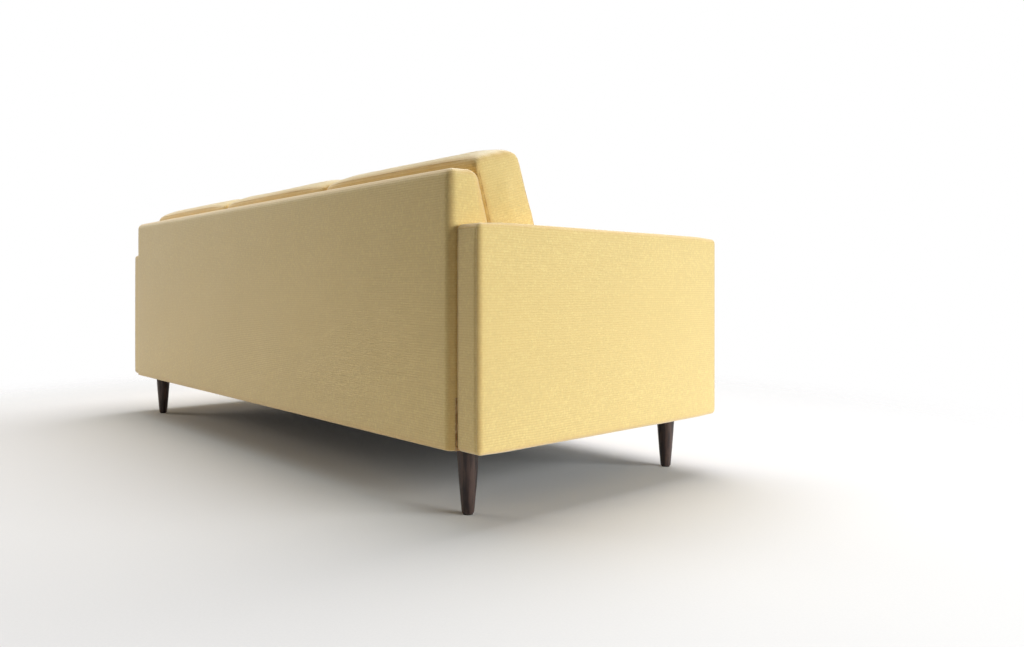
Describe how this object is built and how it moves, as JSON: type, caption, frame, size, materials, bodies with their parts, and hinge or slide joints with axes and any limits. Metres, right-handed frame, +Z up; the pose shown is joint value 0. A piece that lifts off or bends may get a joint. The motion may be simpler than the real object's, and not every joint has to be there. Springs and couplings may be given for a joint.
{
  "type": "sofa with wooden legs",
  "caption": "Upholstered sofa with slim slab arms, a wedge-shaped back, loose box cushions and short tapered round wooden legs.",
  "frame": {"origin": "on the floor, at the centre of the sofa's footprint", "axes": "+X along the sofa's width towards the sitter's left, the seat faces -Y, +Z up"},
  "size_m": [2.146, 0.844, 0.8011],
  "materials": {
    "yellow_weave": "yellow ribbed weave with slubs",
    "leg_wood": "dark espresso stain, satin",
    "frame_wood": "plain unfinished plywood and hardwood",
    "board": "plain brown hardboard",
    "wadding": "white polyester wadding",
    "foam": "cream polyurethane foam",
    "deck_cloth": "plain straw-coloured decking cloth",
    "dust_cloth": "black non-woven dust cloth",
    "webbing": "black elastic webbing",
    "zinc_steel": "zinc-plated steel",
    "felt": "dark pressed felt"
  },
  "bodies": {
    "sofa_frame": {"leg_front_left": "leg_wood", "leg_front_right": "leg_wood", "leg_rear_left": "leg_wood", "leg_rear_right": "leg_wood", "foot_glides": "felt", "hanger_bolts": "zinc_steel", "t_nuts": "zinc_steel", "leg_blocks": "frame_wood", "seat_rail_front": "frame_wood", "seat_rail_rear": "frame_wood", "seat_rail_left": "frame_wood", "seat_rail_right": "frame_wood", "seat_stretchers": "frame_wood", "spring_rail": "frame_wood", "seat_springs": "zinc_steel", "spring_clips": "zinc_steel", "spring_tie_wires": "zinc_steel", "deck_pad": "wadding", "deck_cloth": "deck_cloth", "front_padding": "wadding", "front_cover": "yellow_weave", "arm_post_front_left": "frame_wood", "arm_post_rear_left": "frame_wood", "arm_rail_top_left": "frame_wood", "arm_rail_bottom_left": "frame_wood", "arm_board_inner_left": "board", "arm_board_outer_left": "board", "arm_padding_left": "wadding", "arm_cover_left": "yellow_weave", "arm_post_front_right": "frame_wood", "arm_post_rear_right": "frame_wood", "arm_rail_top_right": "frame_wood", "arm_rail_bottom_right": "frame_wood", "arm_board_inner_right": "board", "arm_board_outer_right": "board", "arm_padding_right": "wadding", "arm_cover_right": "yellow_weave", "arm_bolts": "zinc_steel", "back_post_left": "frame_wood", "back_post_right": "frame_wood", "back_posts_middle": "frame_wood", "back_rail_top": "frame_wood", "back_rail_bottom": "frame_wood", "back_webbing": "webbing", "back_board": "board", "back_padding": "wadding", "back_cover": "yellow_weave", "dust_cover": "dust_cloth"},
    "seat_cushion_left": {"seat_core_left": "foam", "seat_cover_left": "yellow_weave"},
    "seat_cushion_centre": {"seat_core_centre": "foam", "seat_cover_centre": "yellow_weave"},
    "seat_cushion_right": {"seat_core_right": "foam", "seat_cover_right": "yellow_weave"},
    "back_cushion_left": {"back_core_left": "foam", "back_cushion_cover_left": "yellow_weave"},
    "back_cushion_centre": {"back_core_centre": "foam", "back_cushion_cover_centre": "yellow_weave"},
    "back_cushion_right": {"back_core_right": "foam", "back_cushion_cover_right": "yellow_weave"}
  },
  "joints": [
    {"name": "seat_cushion_left_slide", "type": "slide", "parent": "sofa_frame", "child": "seat_cushion_left", "axis": [0, -0.9986, 0.0523], "range_m": [0, 0.45]},
    {"name": "seat_cushion_centre_slide", "type": "slide", "parent": "sofa_frame", "child": "seat_cushion_centre", "axis": [0, -0.9986, 0.0523], "range_m": [0, 0.45]},
    {"name": "seat_cushion_right_slide", "type": "slide", "parent": "sofa_frame", "child": "seat_cushion_right", "axis": [0, -0.9986, 0.0523], "range_m": [0, 0.45]},
    {"name": "back_cushion_left_lift", "type": "slide", "parent": "sofa_frame", "child": "back_cushion_left", "axis": [0, 0.284, 0.9588], "range_m": [0, 0.4]},
    {"name": "back_cushion_centre_lift", "type": "slide", "parent": "sofa_frame", "child": "back_cushion_centre", "axis": [0, 0.284, 0.9588], "range_m": [0, 0.4]},
    {"name": "back_cushion_right_lift", "type": "slide", "parent": "sofa_frame", "child": "back_cushion_right", "axis": [0, 0.284, 0.9588], "range_m": [0, 0.4]}
  ]
}
